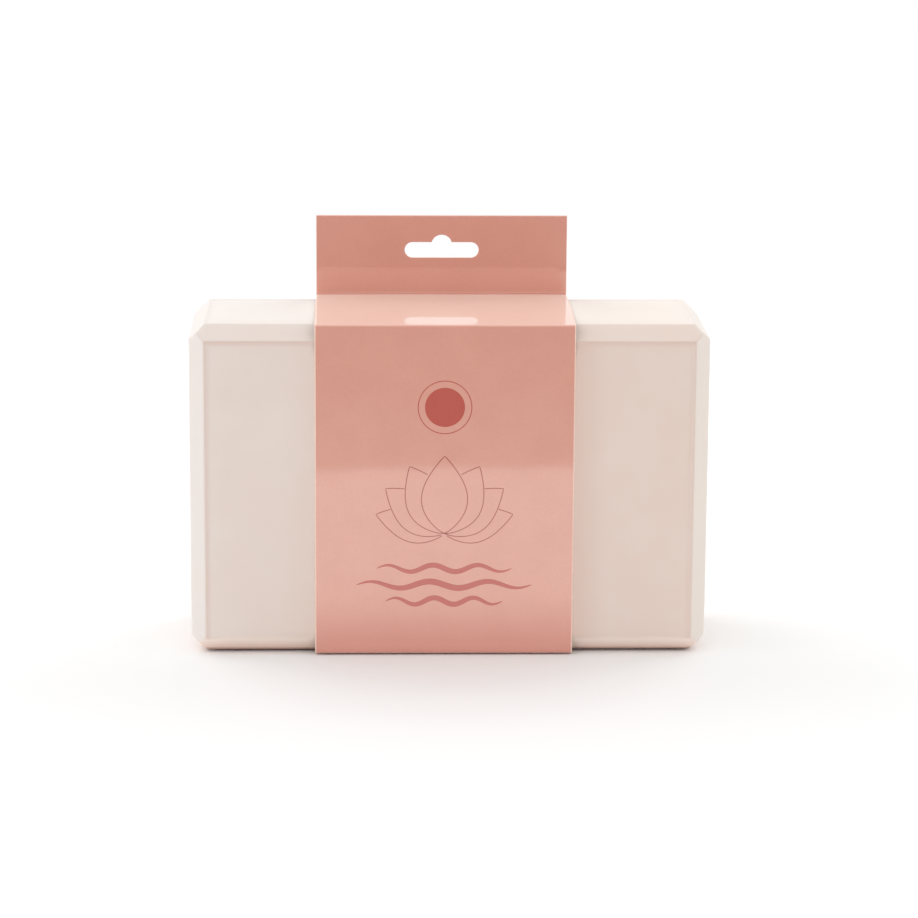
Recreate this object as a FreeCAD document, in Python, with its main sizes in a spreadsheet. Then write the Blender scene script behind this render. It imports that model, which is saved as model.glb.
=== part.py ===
"""Foam yoga block in a folded card sleeve with a hang tab.

The block stands on its long narrow side, with X along its length, its large face towards -Y and +Z up.
The origin lies on the ground, under the middle of the whole part. Lengths are in millimetres.

The sleeve is one creased strip of board. From its glued end it runs: seam flap, bottom panel, front panel,
top panel, front ply of the tab, over the tab's top fold, rear ply of the tab, back panel.
"""

import FreeCAD
import Part
import Sketcher

import os
from collections import namedtuple

# Driving dimensions: alias, value, what it measures.
DRIVING_SIZES = (
    ("block_length", "230", "foam block along X"),
    ("block_depth", "76", "foam block along Y"),
    ("block_height", "148.5", "foam block along Z"),
    ("block_chamfer", "7.1", "setback of the chamfer on every edge of the block"),
    ("block_edge_radius", "1.5", "softening of every line where two faces of the block meet"),
    ("sleeve_width", "114.6", "sleeve along X"),
    ("sleeve_offset", "-2.2", "middle of the sleeve from the middle of the block"),
    ("card_thickness", "0.45", "laminated board"),
    ("fold_radius", "0.5", "inside of a creased fold"),
    ("fit_clearance", "0.2", "room between the foam and the card on every side"),
    ("glue_thickness", "0.1", "adhesive film"),
    ("glue_margin", "3", "bare card between a film and the edge of what it joins"),
    ("flap_height", "20", "seam flap above the ground"),
    ("flap_corner_cut", "4", "slanted free corners of the seam flap"),
    ("back_edge_lift", "0.8", "cut edge of the back panel above the ground"),
    ("panel_crown", "1.2", "rise of the top panel's middle above its folds"),
    ("tab_height", "36.7", "hang tab above the top panel"),
    ("fold_clearance", "0.2", "room for the tab to lie flat on a panel"),
    ("slot_length", "33.8", "hang slot from end to end"),
    ("slot_height", "7.1", "straight stretch of the hang slot"),
    ("slot_bump_radius", "4.75", "rounded peg seat in the slot's upper edge"),
    ("slot_bump_rise", "3.4", "peg seat above the slot's upper edge"),
    ("slot_drop", "15.9", "tab's top edge to the middle of the slot"),
)

# Worked-out dimensions: alias, formula. Names ending in _x, _y and _z are places on that axis.
WORKED_OUT_SIZES = (
    ("datum", "=0"),
    ("block_right_x", "=block_length / 2"),
    ("block_left_x", "=-block_right_x"),
    ("block_back_y", "=block_depth / 2"),
    ("block_front_y", "=-block_back_y"),
    ("fold_outer_radius", "=fold_radius + card_thickness"),
    ("tab_thickness", "=2 * card_thickness + glue_thickness"),
    ("sleeve_depth", "=block_depth + 2 * fit_clearance + 3 * card_thickness + glue_thickness"),
    ("back_outside_y", "=sleeve_depth / 2"),
    ("back_inside_y", "=back_outside_y - card_thickness"),
    ("ply_back_y", "=back_inside_y - glue_thickness"),
    ("ply_front_y", "=ply_back_y - card_thickness"),
    ("front_outside_y", "=-back_outside_y"),
    ("front_inside_y", "=front_outside_y + card_thickness"),
    ("front_fold_y", "=front_outside_y + fold_outer_radius"),
    ("flap_fold_y", "=ply_back_y - fold_outer_radius"),
    ("crease_fold_y", "=ply_front_y - fold_radius"),
    ("tab_middle_y", "=back_outside_y - tab_thickness / 2"),
    ("block_middle_y", "=front_inside_y + fit_clearance + block_depth / 2"),
    ("block_bottom_z", "=card_thickness + fit_clearance"),
    ("bottom_fold_z", "=fold_outer_radius"),
    ("top_inside_z", "=block_bottom_z + block_height + fit_clearance"),
    ("top_outside_z", "=top_inside_z + card_thickness"),
    ("top_fold_z", "=top_outside_z - fold_outer_radius"),
    ("top_middle_y", "=(crease_fold_y + front_fold_y) / 2"),
    ("top_half_span", "=(crease_fold_y - front_fold_y) / 2"),
    ("crown_radius", "=(top_half_span ^ 2 + panel_crown ^ 2) / (2 * panel_crown)"),
    ("crown_inside_z", "=top_inside_z + panel_crown - crown_radius"),
    ("crown_outside_z", "=top_outside_z + panel_crown - crown_radius"),
    ("crease_fold_z", "=top_outside_z + fold_radius"),
    ("tab_bottom_z", "=top_outside_z + tab_thickness + fold_clearance"),
    ("tab_top_z", "=top_outside_z + tab_height"),
    ("tab_fold_z", "=tab_top_z - tab_thickness / 2"),
    ("seam_glue_bottom_z", "=bottom_fold_z + glue_margin"),
    ("seam_glue_top_z", "=flap_height - glue_margin"),
    ("seam_glue_width", "=sleeve_width - 2 * flap_corner_cut"),
    ("tab_glue_bottom_z", "=tab_bottom_z + glue_margin"),
    ("tab_glue_top_z", "=tab_fold_z - glue_margin"),
    ("tab_glue_width", "=sleeve_width - 2 * glue_margin"),
    ("slot_middle_z", "=tab_top_z - slot_drop"),
    ("slot_top_z", "=slot_middle_z + slot_height / 2"),
    ("slot_bottom_z", "=slot_middle_z - slot_height / 2"),
    ("slot_right_x", "=slot_length / 2 - slot_height / 2"),
    ("slot_left_x", "=-slot_right_x"),
    ("bump_middle_z", "=slot_top_z + slot_bump_rise - slot_bump_radius"),
    ("bump_right_x", "=sqrt(slot_bump_rise * (2 * slot_bump_radius - slot_bump_rise))"),
    ("bump_left_x", "=-bump_right_x"),
)

# A bend leaves a corner of an outline as an arc about a centre, turning left (1) or right (-1).
Bend = namedtuple("Bend", "centre_u centre_v turn")
LEFT = 1
RIGHT = -1

# Points of a sketch segment, as the sketcher numbers them.
START = 1
END = 2
CENTRE = 3

AXES = {"X": FreeCAD.Vector(1, 0, 0), "Y": FreeCAD.Vector(0, 1, 0), "Z": FreeCAD.Vector(0, 0, 1)}

doc = FreeCAD.newDocument("yoga_block")
sheet = doc.addObject("Spreadsheet::Sheet", "sizes")


def fill_sheet():
    """Write the driving dimensions and the formulas that follow from them."""
    rows = [row[:2] for row in DRIVING_SIZES] + list(WORKED_OUT_SIZES)
    for number, (alias, content) in enumerate(rows, start=1):
        cell = f"B{number}"
        sheet.set(f"A{number}", alias)
        sheet.set(cell, content)
        sheet.setAlias(cell, alias)
    doc.recompute()


def bind(thing, prop, alias):
    """Tie one property to a cell of the sheet."""
    thing.setExpression(prop, f"sizes.{alias}")


def new_body(label):
    """Empty body whose label names the piece."""
    body = doc.addObject("PartDesign::Body", label)
    body.Label = label
    return body


def hold(sketch, kind, segment, point, alias):
    """Hold one coordinate of a sketch point at a cell of the sheet."""
    index = sketch.addConstraint(Sketcher.Constraint(kind, segment, point, sheet.get(alias)))
    bind(sketch, f"Constraints[{index}]", alias)


def arc_between(first, last, bend):
    """Arc of a bend from one corner to the next, always drawn turning left."""
    centre = FreeCAD.Vector(sheet.get(bend.centre_u), sheet.get(bend.centre_v), 0)
    begin, finish = (first, last) if bend.turn == LEFT else (last, first)
    angles = [(point - centre).getAngle(AXES["X"]) for point in (begin, finish)]
    angles = [angle if point.y >= centre.y else -angle for angle, point in zip(angles, (begin, finish))]
    circle = Part.Circle(centre, AXES["Z"], (begin - centre).Length)
    return Part.ArcOfCircle(circle, *angles)


def closed_outline(body, name, role, outline):
    """Fully held sketch on one origin plane of a body.

    Each item of the outline holds the aliases of a corner's two coordinates, and the bend that leaves it
    or None.
    """
    sketch = body.newObject("Sketcher::SketchObject", name)
    plane = next(feature for feature in body.Origin.OriginFeatures if feature.Role == role)
    sketch.AttachmentSupport = [(plane, "")]
    sketch.MapMode = "FlatFace"
    corners = [FreeCAD.Vector(sheet.get(u), sheet.get(v), 0) for u, v, bend in outline]
    bends = [bend for u, v, bend in outline]
    for first, last, bend in zip(corners, corners[1:] + corners[:1], bends):
        sketch.addGeometry(arc_between(first, last, bend) if bend else Part.LineSegment(first, last))
    begins = [END if bend and bend.turn == RIGHT else START for bend in bends]
    ends = [START if begin == END else END for begin in begins]
    for segment, (u, v, bend) in enumerate(outline):
        before = segment - 1 if segment else len(outline) - 1
        join = Sketcher.Constraint("Coincident", before, ends[before], segment, begins[segment])
        sketch.addConstraint(join)
        hold(sketch, "DistanceX", segment, begins[segment], u)
        hold(sketch, "DistanceY", segment, begins[segment], v)
        if bend and outline[(segment + 1) % len(outline)][0] == u:
            hold(sketch, "DistanceX", segment, CENTRE, bend.centre_u)
        elif bend:
            hold(sketch, "DistanceY", segment, CENTRE, bend.centre_v)
    return sketch


def rectangle(left, right, low, high):
    """Outline of a rectangle from the aliases of its four sides."""
    return [(left, low, None), (right, low, None), (right, high, None), (left, high, None)]


def upward_fold(fold_y, low, high_of_low, fold_z, top):
    """Section of a strip that starts level, turns up on the planes of the inner ply and ends at top."""
    return [
        (fold_y, low, Bend(fold_y, fold_z, LEFT)),
        ("ply_back_y", fold_z, None),
        ("ply_back_y", top, None),
        ("ply_front_y", top, None),
        ("ply_front_y", fold_z, Bend(fold_y, fold_z, RIGHT)),
        (fold_y, high_of_low, None),
    ]


def card_strip(label, section, width="sleeve_width"):
    """Piece of the sleeve: a section in the YZ plane, padded evenly to both sides along X."""
    body = new_body(label)
    pad = body.newObject("PartDesign::Pad", f"{label}_pad")
    pad.Profile = closed_outline(body, f"{label}_section", "YZ_Plane", section)
    pad.SideType = "Symmetric"
    bind(pad, "Length", width)
    bind(body, "Placement.Base.x", "sleeve_offset")
    doc.recompute()
    return body


def edges_along(shape, axis):
    """Names of a shape's straight edges that run along an axis."""
    names = []
    for number, edge in enumerate(shape.Edges, start=1):
        straight = isinstance(edge.Curve, Part.Line)
        if straight and edge.Curve.Direction.cross(AXES[axis]).Length < edge.Tolerance:
            names.append(f"Edge{number}")
    return names


def chamfer(body, name, edges, alias):
    """Chamfer on the named edges of a body's newest feature."""
    base = body.Tip
    feature = body.newObject("PartDesign::Chamfer", name)
    feature.Base = (base, edges)
    bind(feature, "Size", alias)
    doc.recompute()


def cut_hang_slot(body):
    """Cut the hang slot through a layer of the tab: a bar with round ends and a round peg seat above."""
    outline = [
        ("slot_left_x", "slot_bottom_z", None),
        ("slot_right_x", "slot_bottom_z", Bend("slot_right_x", "slot_middle_z", LEFT)),
        ("slot_right_x", "slot_top_z", None),
        ("bump_right_x", "slot_top_z", Bend("datum", "bump_middle_z", LEFT)),
        ("bump_left_x", "slot_top_z", None),
        ("slot_left_x", "slot_top_z", Bend("slot_left_x", "slot_middle_z", LEFT)),
    ]
    before = body.Shape.Volume
    pocket = body.newObject("PartDesign::Pocket", f"{body.Label}_slot")
    pocket.Profile = closed_outline(body, f"{body.Label}_slot_outline", "XZ_Plane", outline)
    pocket.Type = "ThroughAll"
    pocket.SideType = "Symmetric"
    doc.recompute()
    if body.Shape.Volume >= before:
        raise RuntimeError(f"the hang slot cut nothing from {body.Label}")


def make_foam_block():
    """Firm foam block: chamfers axis by axis, so that three meet in a point, then softened lines."""
    body = new_body("foam_block")
    pad = body.newObject("PartDesign::Pad", "foam_block_pad")
    footprint = rectangle("block_left_x", "block_right_x", "block_front_y", "block_back_y")
    pad.Profile = closed_outline(body, "foam_block_footprint", "XY_Plane", footprint)
    bind(pad, "Length", "block_height")
    doc.recompute()
    for axis in ("Z", "Y", "X"):
        chamfer(body, f"foam_block_chamfer_{axis.lower()}", edges_along(body.Shape, axis), "block_chamfer")
    base = body.Tip
    softening = body.newObject("PartDesign::Fillet", "foam_block_softening")
    softening.Base = (base, [f"Edge{number}" for number in range(1, len(base.Shape.Edges) + 1)])
    bind(softening, "Radius", "block_edge_radius")
    bind(body, "Placement.Base.y", "block_middle_y")
    bind(body, "Placement.Base.z", "block_bottom_z")
    doc.recompute()
    return [body]


def make_panels():
    """The four panels round the block.

    The front panel carries the folds at its upper and lower end, and the squeezed foam bows the top panel up.
    """
    front = [
        ("front_fold_y", "top_outside_z", Bend("front_fold_y", "top_fold_z", LEFT)),
        ("front_outside_y", "top_fold_z", None),
        ("front_outside_y", "bottom_fold_z", Bend("front_fold_y", "bottom_fold_z", LEFT)),
        ("front_fold_y", "datum", None),
        ("front_fold_y", "card_thickness", Bend("front_fold_y", "bottom_fold_z", RIGHT)),
        ("front_inside_y", "bottom_fold_z", None),
        ("front_inside_y", "top_fold_z", Bend("front_fold_y", "top_fold_z", RIGHT)),
        ("front_fold_y", "top_inside_z", None),
    ]
    top = [
        ("front_fold_y", "top_inside_z", Bend("top_middle_y", "crown_inside_z", RIGHT)),
        ("crease_fold_y", "top_inside_z", None),
        ("crease_fold_y", "top_outside_z", Bend("top_middle_y", "crown_outside_z", LEFT)),
        ("front_fold_y", "top_outside_z", None),
    ]
    bottom = rectangle("front_fold_y", "flap_fold_y", "datum", "card_thickness")
    back = rectangle("back_inside_y", "back_outside_y", "back_edge_lift", "top_outside_z")
    sections = {"front_panel": front, "top_panel": top, "bottom_panel": bottom, "back_panel": back}
    return [card_strip(label, section) for label, section in sections.items()]


def make_seam():
    """Glue flap that turns up inside the back panel, and the film that holds the two together."""
    section = upward_fold("flap_fold_y", "datum", "card_thickness", "bottom_fold_z", "flap_height")
    flap = card_strip("seam_flap", section)
    free_edges = []
    for name in edges_along(flap.Shape, "Y"):
        height = flap.Shape.getElement(name).CenterOfMass.z
        if height > sheet.get("bottom_fold_z"):
            free_edges.append(name)
    chamfer(flap, "seam_flap_corners", free_edges, "flap_corner_cut")
    film = rectangle("ply_back_y", "back_inside_y", "seam_glue_bottom_z", "seam_glue_top_z")
    return [flap, card_strip("seam_glue", film, "seam_glue_width")]


def make_tab():
    """Two-ply hang tab, folded over at its top and glued, with the hang slot cut through both plies."""
    front = rectangle("ply_front_y", "ply_back_y", "tab_bottom_z", "tab_fold_z")
    rear = [
        ("back_inside_y", "tab_bottom_z", None),
        ("back_outside_y", "tab_bottom_z", None),
        ("back_outside_y", "tab_fold_z", Bend("tab_middle_y", "tab_fold_z", LEFT)),
        ("ply_front_y", "tab_fold_z", None),
        ("ply_back_y", "tab_fold_z", Bend("tab_middle_y", "tab_fold_z", RIGHT)),
        ("back_inside_y", "tab_fold_z", None),
    ]
    film = rectangle("ply_back_y", "back_inside_y", "tab_glue_bottom_z", "tab_glue_top_z")
    bodies = [
        card_strip("tab_front_ply", front),
        card_strip("tab_rear_ply", rear),
        card_strip("tab_glue", film, "tab_glue_width"),
    ]
    for body in bodies:
        cut_hang_slot(body)
    return bodies


def make_tab_creases():
    """The two creased strips that the tab bends on, between the panels and the plies."""
    front = upward_fold("crease_fold_y", "top_inside_z", "top_outside_z", "crease_fold_z", "tab_bottom_z")
    rear = rectangle("back_inside_y", "back_outside_y", "top_outside_z", "tab_bottom_z")
    return [card_strip("tab_front_crease", front), card_strip("tab_rear_crease", rear)]


def check(bodies):
    """Stop before anything is written if a feature failed or a piece isn't one sound solid."""
    for thing in doc.Objects:
        if {"Invalid", "Error"} & set(thing.State):
            raise RuntimeError(f"{thing.Label} failed: {thing.State}")
    for body in bodies:
        if body.Shape.isNull() or not body.Shape.isValid() or len(body.Shape.Solids) != 1:
            raise RuntimeError(f"{body.Label} isn't one sound solid")


def write(bodies):
    """Write each piece to a file that carries its label."""
    os.makedirs("parts", exist_ok=True)
    for body in bodies:
        body.Shape.exportStep(f"parts/{body.Label}.step")
        print(f"{body.Label}: {body.Shape.Volume:.1f} cubic millimetres")


fill_sheet()
pieces = make_foam_block() + make_panels() + make_seam() + make_tab() + make_tab_creases()
doc.recompute()
check(pieces)
write(pieces)
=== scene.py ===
"""Looks of a foam yoga block in a folded card sleeve, with a white studio and the camera.

Lengths are in metres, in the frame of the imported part: X along the block, +Y to the back, +Z up.
"""

import logging
import math
from dataclasses import dataclass, field, replace
from enum import Enum, IntEnum
from typing import Callable, Optional, Sequence

import bmesh
import bpy
import numpy as np
from mathutils import Matrix, Vector
from mathutils.geometry import tessellate_polygon


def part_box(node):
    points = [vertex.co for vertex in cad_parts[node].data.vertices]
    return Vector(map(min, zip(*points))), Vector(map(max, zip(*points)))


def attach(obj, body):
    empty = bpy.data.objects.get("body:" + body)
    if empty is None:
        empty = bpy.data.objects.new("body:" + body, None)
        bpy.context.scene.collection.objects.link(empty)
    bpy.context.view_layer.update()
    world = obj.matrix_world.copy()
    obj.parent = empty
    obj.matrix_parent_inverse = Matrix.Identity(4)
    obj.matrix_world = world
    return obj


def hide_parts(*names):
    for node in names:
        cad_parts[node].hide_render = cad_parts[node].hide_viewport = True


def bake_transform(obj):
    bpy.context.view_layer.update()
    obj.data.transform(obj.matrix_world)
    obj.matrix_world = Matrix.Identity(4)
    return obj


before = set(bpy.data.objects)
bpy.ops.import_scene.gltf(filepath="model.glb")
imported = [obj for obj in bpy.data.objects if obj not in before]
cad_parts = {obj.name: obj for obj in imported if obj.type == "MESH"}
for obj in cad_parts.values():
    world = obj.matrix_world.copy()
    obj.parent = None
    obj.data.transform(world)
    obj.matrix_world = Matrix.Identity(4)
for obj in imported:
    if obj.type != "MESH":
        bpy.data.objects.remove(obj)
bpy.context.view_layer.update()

log = logging.getLogger("yoga_block")

Colour = tuple[float, float, float]
Point = tuple[float, float]
Depth = Callable[[float, float], float]
Sockets = bpy.types.bpy_prop_collection

IMAGE_PIXELS = 918
BLOCK_CHAMFER = 0.0071
CRISP_ANGLE = 40.0
NOISE_CORE = (0.3, 0.7)


class Body(Enum):
    """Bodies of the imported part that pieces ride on."""

    BLOCK = "block"
    SLEEVE = "sleeve"
    TAB = "tab"


class Slot(Enum):
    """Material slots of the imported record."""

    FOAM = "foam"
    BOARD = "board"
    GLUE = "glue"


class CardFace(IntEnum):
    """Sides of a card piece, in the order of its material slots."""

    PRINTED = 0
    RAW = 1
    CUT = 2


class ShaderTree:
    """Short way to place and join the nodes of a shader."""

    def __init__(self, tree: bpy.types.NodeTree) -> None:
        """Start from an empty tree."""
        self.tree = tree
        tree.nodes.clear()

    def add(
        self, kind: str, settings: Optional[dict[str, object]] = None, **inputs: object
    ) -> bpy.types.Node:
        """Place one node.

        Args:
            kind: Blender's name of the node type.
            settings: values of the node's own properties.
            inputs: value or feeding socket of each named input, with _ for a space in its name.

        Returns:
            The new node.
        """
        node = self.tree.nodes.new(kind)
        for key, value in (settings or {}).items():
            setattr(node, key, value)
        for key, value in inputs.items():
            self.feed(node.inputs[key.replace("_", " ")], value)
        return node

    def feed(self, socket: bpy.types.NodeSocket, value: object) -> None:
        """Join a socket to another one, or set its value.

        Args:
            socket: input to feed.
            value: output to join it to, or its value.
        """
        if isinstance(value, bpy.types.NodeSocket):
            self.tree.links.new(value, socket)
        else:
            socket.default_value = value

    def calc(self, operation: str, *values: object) -> bpy.types.NodeSocket:
        """Arithmetic on one to three values.

        Args:
            operation: Blender's name of the operation.
            values: numbers or sockets, in order.

        Returns:
            The socket with the result.
        """
        node = self.add("ShaderNodeMath", {"operation": operation})
        for socket, value in zip(node.inputs, values):
            self.feed(socket, value)
        return node.outputs[0]

    def ramp(
        self, value: object, low: float, high: float, to_low: float, to_high: float
    ) -> bpy.types.NodeSocket:
        """Map one range smoothly to another.

        Args:
            value: socket to map.
            low: value that gives to_low.
            high: value that gives to_high.
            to_low: result at low and before it.
            to_high: result at high and after it.

        Returns:
            The socket with the result.
        """
        node = self.add("ShaderNodeMapRange", {"interpolation_type": "SMOOTHSTEP"})
        for socket, item in zip(node.inputs, (value, low, high, to_low, to_high)):
            self.feed(socket, item)
        return node.outputs[0]

    def mix(self, share: object, first: object, second: object) -> bpy.types.NodeSocket:
        """Blend two colours by a share from 0 to 1.

        Args:
            share: socket that holds the share of the second colour.
            first: colour or socket at 0.
            second: colour or socket at 1.

        Returns:
            The socket with the colour.
        """
        node = self.add("ShaderNodeMix", {"data_type": "RGBA"})
        self.feed(node.inputs[0], share)
        for socket, colour in ((node.inputs[6], first), (node.inputs[7], second)):
            self.feed(socket, (*colour, 1.0) if isinstance(colour, tuple) else colour)
        return node.outputs[2]

    def noise(self, scale: float, detail: float, place: bpy.types.NodeSocket) -> bpy.types.NodeSocket:
        """Cloudy noise from 0 to 1.

        Args:
            scale: cells per metre.
            detail: octaves of finer noise.
            place: coordinates.

        Returns:
            The socket with the value.
        """
        return self.add("ShaderNodeTexNoise", Vector=place, Scale=scale, Detail=detail).outputs["Fac"]

    def bump(
        self,
        strength: float,
        depth: float,
        height: bpy.types.NodeSocket,
        under: Optional[bpy.types.NodeSocket] = None,
    ) -> bpy.types.NodeSocket:
        """Relief that turns the light without moving the surface.

        Args:
            strength: share of the relief that shows.
            depth: height of the relief where its value is 1.
            height: value of the relief.
            under: relief that this one lies on, or None for the bare surface.

        Returns:
            The socket with the normal.
        """
        node = self.add("ShaderNodeBump", Strength=strength, Distance=depth, Height=height)
        if under is not None:
            self.feed(node.inputs["Normal"], under)
        return node.outputs["Normal"]

    def coordinates(self, kind: str) -> bpy.types.NodeSocket:
        """Coordinates of a kind, such as Object or Normal."""
        return self.add("ShaderNodeTexCoord").outputs[kind]

    def parts(self, vector: bpy.types.NodeSocket) -> Sockets:
        """Sockets with the X, Y and Z of a vector."""
        return self.add("ShaderNodeSeparateXYZ", Vector=vector).outputs

    def seen(self) -> bpy.types.NodeSocket:
        """Tell the rays that show a thing, straight or by mirror or glass, from those that only light it.

        Returns:
            The socket with 1 for the first kind and 0 for the other.
        """
        path = self.add("ShaderNodeLightPath").outputs
        seen = self.calc("MAXIMUM", path["Is Camera Ray"], path["Is Glossy Ray"])
        return self.calc("MAXIMUM", seen, path["Is Transmission Ray"])


def new_material(name: str) -> tuple[bpy.types.Material, ShaderTree]:
    """Make an empty node material.

    Args:
        name: name of the material.

    Returns:
        The material and its tree.
    """
    material = bpy.data.materials.new(name)
    material.use_nodes = True
    return material, ShaderTree(material.node_tree)


@dataclass(frozen=True)
class FoamFinish:
    """Closed-cell foam: matte with a fine skin of pores.

    The large faces are skin, with painted shade along their rims, and painted warm shade on the front beside
    the sleeve, deepest at its right edge. Painted light makes the sides, the top and the upper chamfers
    paler; the lower chamfers carry painted warm bounce light that darkens towards the ground, and a painted
    contact shadow where they meet it. Painted light from the left makes the left end of the foam paler.
    """

    low: Vector
    high: Vector
    sleeve_left: float
    sleeve_right: float
    chamfer: float = BLOCK_CHAMFER
    pale: Colour = (0.786, 0.685, 0.622)
    deep: Colour = (0.775, 0.622, 0.547)
    # Painted light from the left: share of the paler tones at the left end and at the right end.
    left_end_light: float = 0.85
    right_end_light: float = 0.15
    cloud_swing: float = 0.3
    # Painted light: paler tones of the faces that look up and to the sides, at the left end and at the right
    # end.
    facing_light: Colour = (0.772, 0.708, 0.674)
    facing_light_warm: Colour = (0.800, 0.714, 0.640)
    facing_light_top: float = 0.9
    facing_light_top_power: float = 4.0
    facing_light_side: float = 1.4
    large_facing: tuple[float, float] = (0.75, 0.95)
    # Painted light: warm bounce light on the chamfers that face down, turning darker towards the foot.
    under: Colour = (0.940, 0.800, 0.715)
    bounce_facing: tuple[float, float] = (-0.7, -0.1)
    foot: Colour = (0.880, 0.660, 0.560)
    # Painted contact shadow along the foot, within its reach of the ground.
    contact_shadow: Colour = (0.400, 0.200, 0.150)
    contact_shadow_reach: float = 0.0024
    contact_shadow_power: float = 1.5
    # Painted shade on the front beside the sleeve, stronger at its right edge.
    sleeve_shade: Colour = (0.715, 0.535, 0.455)
    left_sleeve_shade: float = 0.28
    right_sleeve_shade: float = 0.80
    sleeve_shade_reach: float = 0.017
    # Painted shade along the grooves inside the rims of the large faces.
    rim: Colour = (0.715, 0.548, 0.478)
    top_rim_shade: float = 0.85
    side_rim_shade: float = 0.50
    rim_shade_reach: float = 0.0030
    cloud_scale: float = 40.0
    cloud_core: tuple[float, float] = (0.35, 0.65)
    pore_scale: float = 2100.0
    pore_depth: float = 0.00006
    pore_strength: float = 0.4
    swell_scale: float = 160.0
    swell_depth: float = 0.00012
    swell_strength: float = 0.35
    smooth_roughness: float = 0.50
    rough_roughness: float = 0.58
    sheen: float = 0.3
    sheen_roughness: float = 0.4

    def skin(
        self, tree: ShaderTree, facing: Sockets, spot: Sockets, clouds: bpy.types.NodeSocket
    ) -> bpy.types.NodeSocket:
        """Colour of the foam before the painted shade of its rims and beside the sleeve.

        Args:
            tree: tree of the material.
            facing: parts of the normal.
            spot: parts of the place.
            clouds: share of the paler tone.

        Returns:
            The socket with the colour.
        """
        # Painted light: faces that look up, and faces that look to the sides, take the paler tone.
        up = tree.calc("POWER", tree.calc("MAXIMUM", facing["Z"], 0.0), self.facing_light_top_power)
        side = tree.calc("MULTIPLY", tree.calc("ABSOLUTE", facing["X"]), self.facing_light_side)
        facing_light = tree.calc("MINIMUM", tree.calc("MULTIPLY_ADD", up, self.facing_light_top, side), 1.0)
        # Painted light from the left makes the left end paler; clouds vary the share at random.
        end_light_share = tree.ramp(spot["X"], self.low.x, self.high.x, self.left_end_light, self.right_end_light)
        swing = tree.calc("MULTIPLY_ADD", clouds, self.cloud_swing, -self.cloud_swing / 2)
        end_light_share = tree.calc("ADD", end_light_share, swing)
        skin = tree.mix(facing_light, tree.mix(end_light_share, self.deep, self.pale), tree.mix(end_light_share, self.facing_light_warm, self.facing_light))
        # Painted warm bounce light on the lower chamfers, darker towards the ground, and a painted contact
        # shadow at the foot.
        chamfer_top, contact_shadow_top = self.low.z + self.chamfer, self.low.z + self.contact_shadow_reach
        foot = tree.mix(tree.ramp(spot["Z"], self.low.z, chamfer_top, 0.0, 1.0), self.foot, self.under)
        # Painted contact shadow where the foot meets the ground.
        contact_shadow = tree.calc("POWER", tree.ramp(spot["Z"], self.low.z, contact_shadow_top, 1.0, 0.0), self.contact_shadow_power)
        foot = tree.mix(contact_shadow, foot, self.contact_shadow)
        return tree.mix(tree.ramp(facing["Z"], *self.bounce_facing, 1.0, 0.0), skin, foot)

    def colour(
        self, tree: ShaderTree, place: bpy.types.NodeSocket, clouds: bpy.types.NodeSocket
    ) -> bpy.types.NodeSocket:
        """Colour of the foam by place and facing.

        Args:
            tree: tree of the material.
            place: object coordinates.
            clouds: share of the paler tone.

        Returns:
            The socket with the colour.
        """
        facing = tree.parts(tree.coordinates("Normal"))
        spot = tree.parts(place)
        part, full = self.large_facing
        large = tree.ramp(tree.calc("ABSOLUTE", facing["Y"]), part, full, 0.0, 1.0)
        front = tree.ramp(facing["Y"], -full, -part, 1.0, 0.0)
        below = tree.calc("SUBTRACT", self.high.z - self.chamfer, spot["Z"])
        left = tree.calc("SUBTRACT", spot["X"], self.low.x + self.chamfer)
        right = tree.calc("SUBTRACT", self.high.x - self.chamfer, spot["X"])
        # Painted shade along the rims of the large faces.
        top_rim_shade = tree.ramp(below, 0.0, self.rim_shade_reach, self.top_rim_shade, 0.0)
        side_rim_shade = tree.ramp(tree.calc("MINIMUM", left, right), 0.0, self.rim_shade_reach, self.side_rim_shade, 0.0)
        painted_shades = [(self.rim, tree.calc("MAXIMUM", top_rim_shade, side_rim_shade), large)]
        # Painted shade on the front beside each edge of the sleeve.
        for edge, share in ((self.sleeve_left, self.left_sleeve_shade), (self.sleeve_right, self.right_sleeve_shade)):
            away = tree.calc("ABSOLUTE", tree.calc("SUBTRACT", spot["X"], edge))
            painted_shades.append((self.sleeve_shade, tree.ramp(away, 0.0, self.sleeve_shade_reach, share, 0.0), front))
        skin = self.skin(tree, facing, spot, clouds)
        for colour, share, face in painted_shades:
            skin = tree.mix(tree.calc("MULTIPLY", share, face), skin, colour)
        return skin

    def make(self) -> bpy.types.Material:
        """Build the material.

        Returns:
            The foam.
        """
        material, tree = new_material("closed_cell_foam")
        place = tree.coordinates("Object")
        clouds = tree.ramp(tree.noise(self.cloud_scale, 4.0, place), *self.cloud_core, 0.0, 1.0)
        pores = tree.add("ShaderNodeTexVoronoi", Vector=place, Scale=self.pore_scale).outputs["Distance"]
        swell = tree.bump(self.swell_strength, self.swell_depth, tree.noise(self.swell_scale, 2.0, place))
        skin = tree.add(
            "ShaderNodeBsdfPrincipled",
            Base_Color=self.colour(tree, place, clouds),
            Roughness=tree.ramp(clouds, 0.0, 1.0, self.smooth_roughness, self.rough_roughness),
            Normal=tree.bump(self.pore_strength, self.pore_depth, pores, swell),
            Sheen_Weight=self.sheen,
            Sheen_Roughness=self.sheen_roughness,
        )
        tree.add("ShaderNodeOutputMaterial", Surface=skin.outputs["BSDF"])
        return material


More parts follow.
